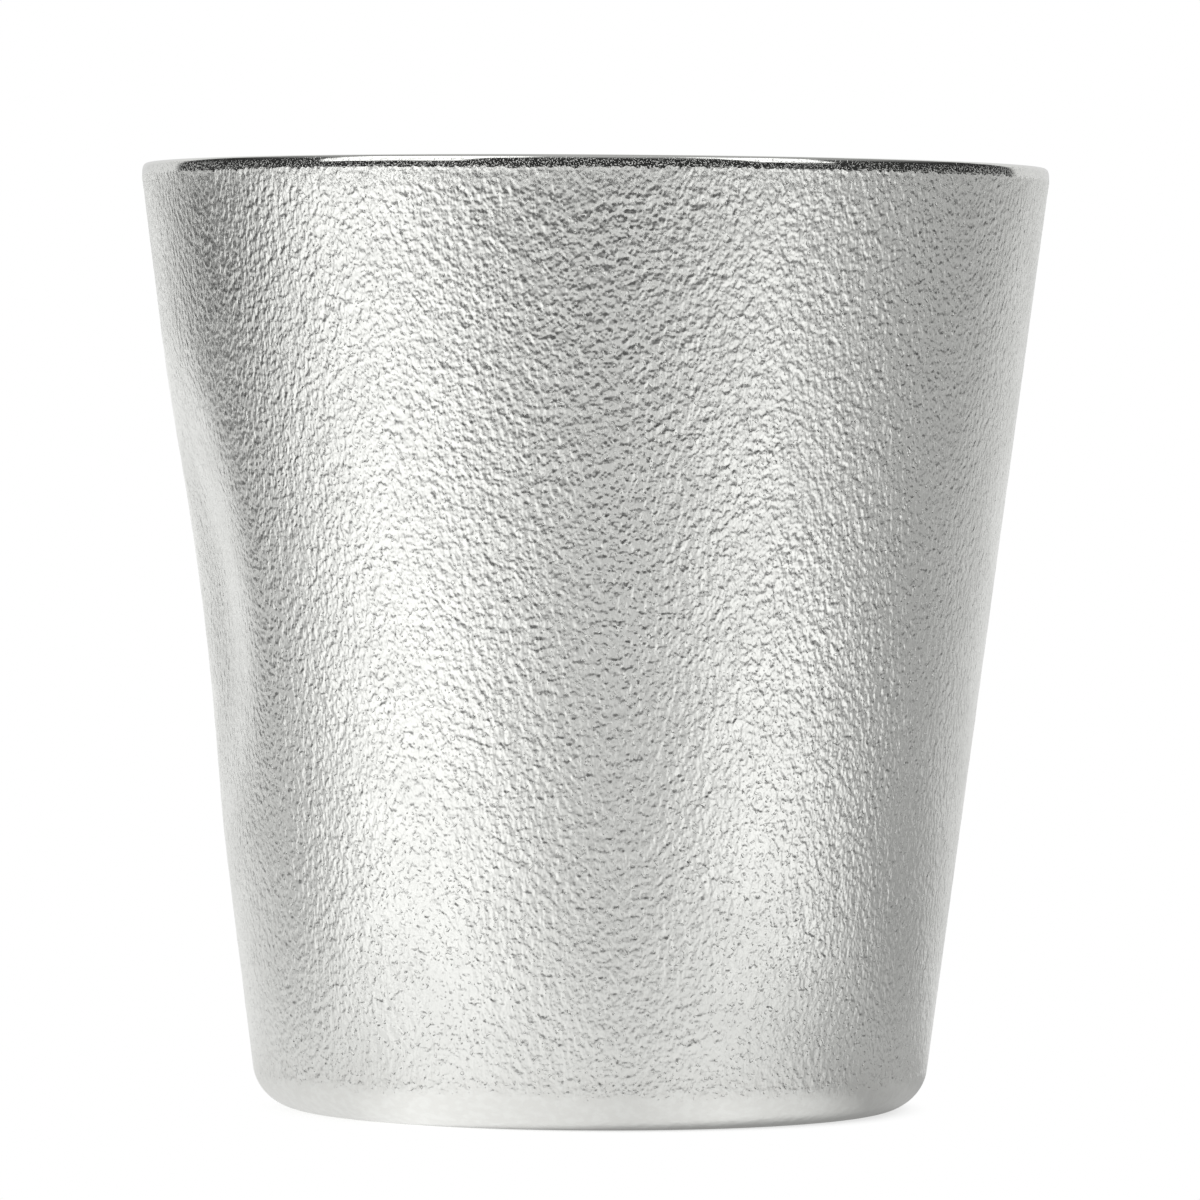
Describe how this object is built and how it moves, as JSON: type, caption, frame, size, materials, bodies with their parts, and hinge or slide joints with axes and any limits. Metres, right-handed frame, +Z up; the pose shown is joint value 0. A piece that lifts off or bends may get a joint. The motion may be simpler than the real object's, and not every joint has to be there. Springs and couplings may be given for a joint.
{
  "type": "tumbler",
  "caption": "Tapered drinking tumbler cast in tin, with a sand-cast grain outside, a polished lip, a round smooth foot and a thumb dimple in its side.",
  "frame": {"origin": "on the table, in the middle of the ring that the tumbler stands on", "axes": "+Z is up along the tumbler's axis, the mouth is open towards +Z, and the thumb dimple is on the -X side"},
  "size_m": [0.09, 0.09, 0.0935],
  "materials": {
    "polished_tin": "polished to a mirror on the lip",
    "cast_tin": "fine sand-cast grain outside, satin turned inside",
    "smooth_tin": "rubbed smooth, with fine turned lines inside and underneath"
  },
  "bodies": {
    "root": {"rim": "polished_tin", "wall": "cast_tin", "foot_ring": "smooth_tin", "floor_disc": "smooth_tin"}
  },
  "joints": []
}
